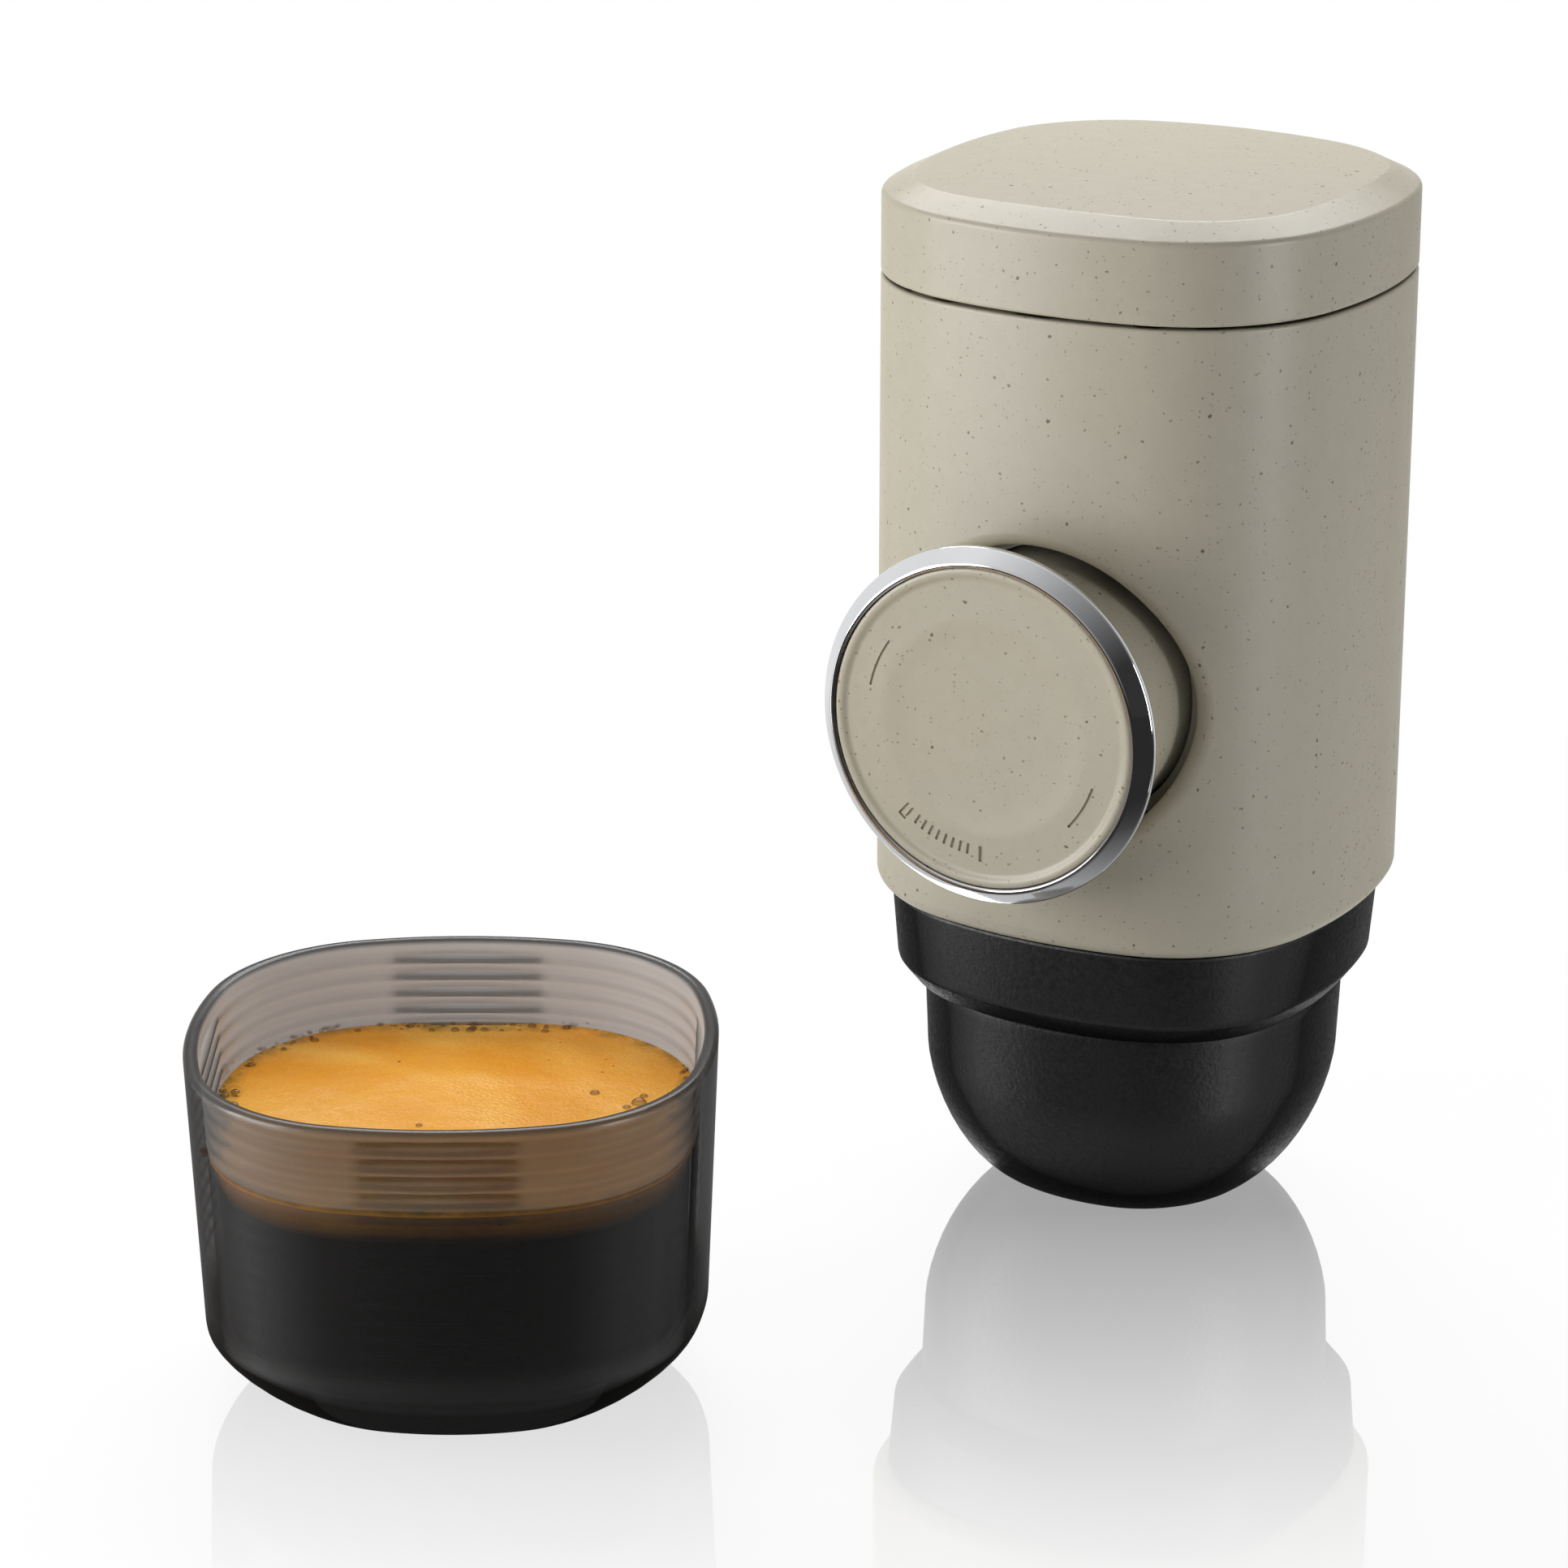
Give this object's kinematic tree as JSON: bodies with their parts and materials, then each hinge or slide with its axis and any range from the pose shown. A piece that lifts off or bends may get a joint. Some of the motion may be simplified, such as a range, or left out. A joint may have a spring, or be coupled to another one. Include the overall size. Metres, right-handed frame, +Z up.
{
  "type": "handheld manual espresso maker",
  "caption": "Rounded-square handheld espresso maker with a side pump knob, a screw-off lid and outlet head, and a ribbed nesting cup.",
  "frame": {"origin": "centre of the flat underside of the outlet bowl", "axes": "+Z up through the lid; -Y out along the pump towards its knob; +X to the right of someone who faces the knob"},
  "size_m": [0.1064, 0.1577, 0.133],
  "materials": {
    "beige_bioplastic": "satin moulded bio-plastic with fine dark flecks",
    "black_plastic": "matte black moulded nylon with a fine grain",
    "grey_plastic": "dark grey moulded plastic",
    "tank_plastic": "smooth grey polypropylene",
    "polished_chrome": "polished",
    "steel": "bright drawn steel",
    "silicone": "red-brown silicone rubber",
    "smoke_clear": "clear smoke-grey moulded plastic",
    "coffee": "espresso under golden-brown crema"
  },
  "bodies": {
    "main_body": {"main_housing": "beige_bioplastic", "water_tank": "tank_plastic", "intake_filter": "steel", "pump_carrier": "grey_plastic", "pump_cylinder": "steel", "rod_gland": "grey_plastic", "rod_seal": "silicone", "knob_guide": "beige_bioplastic", "return_spring": "steel", "inlet_valve": "silicone", "outlet_valve": "silicone", "brew_head": "black_plastic", "brew_head_screws": "steel", "needle_plate": "steel", "brew_gasket": "silicone"},
    "pump": {"piston_rod": "steel", "piston": "grey_plastic", "piston_seal_back": "silicone", "piston_seal_front": "silicone", "knob_screw": "steel"},
    "knob": {"knob_drum": "beige_bioplastic", "knob_ring": "polished_chrome", "knob_face": "beige_bioplastic"},
    "lid_seal": {"lid_gasket": "silicone"},
    "lid": {"lid_cap": "beige_bioplastic", "lid_plug": "black_plastic", "lid_screws": "steel", "vent_valve": "silicone"},
    "capsule_tray": {"capsule_holder": "black_plastic", "holder_seal": "silicone"},
    "outlet_head": {"outlet_collar": "black_plastic", "outlet_bowl": "black_plastic", "strainer_plate": "black_plastic"},
    "cup": {"cup": "smoke_clear", "espresso": "coffee"}
  },
  "joints": [
    {"name": "pump_stroke", "type": "slide", "parent": "main_body", "child": "pump", "axis": [0, -1, 0], "range_m": [0, 0.018], "deforming": ["return_spring"]},
    {"name": "knob_lock", "type": "hinge", "parent": "pump", "child": "knob", "pos_m": [0, 0, 0.0724], "axis": [0, -1, 0], "range_deg": [0, 45]},
    {"name": "lid_lift", "type": "slide", "parent": "main_body", "child": "lid_seal", "axis": [0, 0, 1], "range_m": [0, 0.02]},
    {"name": "lid_turn", "type": "hinge", "parent": "lid_seal", "child": "lid", "pos_m": [0, 0, 0.12], "axis": [0, 0, 1], "range_deg": [0, 90]},
    {"name": "tray_drop", "type": "slide", "parent": "main_body", "child": "capsule_tray", "axis": [0, 0, -1], "range_m": [0, 0.02]},
    {"name": "head_turn", "type": "hinge", "parent": "capsule_tray", "child": "outlet_head", "pos_m": [0, 0, 0], "axis": [0, 0, -1], "range_deg": [0, 90]},
    {"name": "cup_lift", "type": "slide", "parent": "main_body", "child": "cup", "axis": [0, 0, 1], "range_m": [0, 0.06]}
  ]
}
